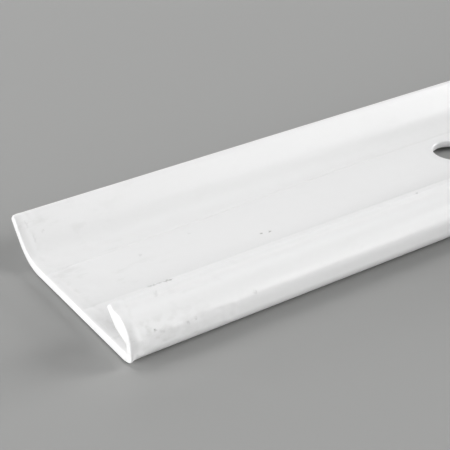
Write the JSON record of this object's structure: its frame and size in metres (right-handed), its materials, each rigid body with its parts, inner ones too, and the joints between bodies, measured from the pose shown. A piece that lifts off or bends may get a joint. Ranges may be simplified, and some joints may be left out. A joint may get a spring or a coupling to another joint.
{
  "type": "door sweep",
  "caption": "White painted aluminium strip with a raised lip, a rolled hem and screw holes; a vinyl blade with a flexible fin slides and clips onto the hem to seal under a door.",
  "frame": {"origin": "on the strip's lying face, on the line of screw holes, at mid-length, which is the middle screw hole's centre", "axes": "+X along the strip away from the end that the blade is drawn clear of, +Y across from the rolled hem to the raised lip, +Z out of the screw holes on the open side"},
  "size_m": [0.9744, 0.0467, 0.0064],
  "materials": {
    "white_enamel": "glossy white baked enamel over an aluminium strip",
    "rigid_vinyl": "satin rigid vinyl",
    "soft_vinyl": "soft vinyl with a light sheen"
  },
  "bodies": {
    "carrier": {"carrier_strip": "white_enamel"},
    "blade": {"blade_root": "rigid_vinyl"},
    "fin": {"blade_fin": "soft_vinyl"}
  },
  "joints": [
    {"name": "blade_slide", "type": "slide", "parent": "carrier", "child": "blade", "axis": [1, 0, 0], "range_m": [-0.06, 0.04]},
    {"name": "fin_flex", "type": "hinge", "parent": "blade", "child": "fin", "pos_m": [0, -0.01597, 0.00598], "axis": [1, 0, 0], "range_deg": [-60, 8], "stiffness_Nm_per_rad": 0.15}
  ]
}
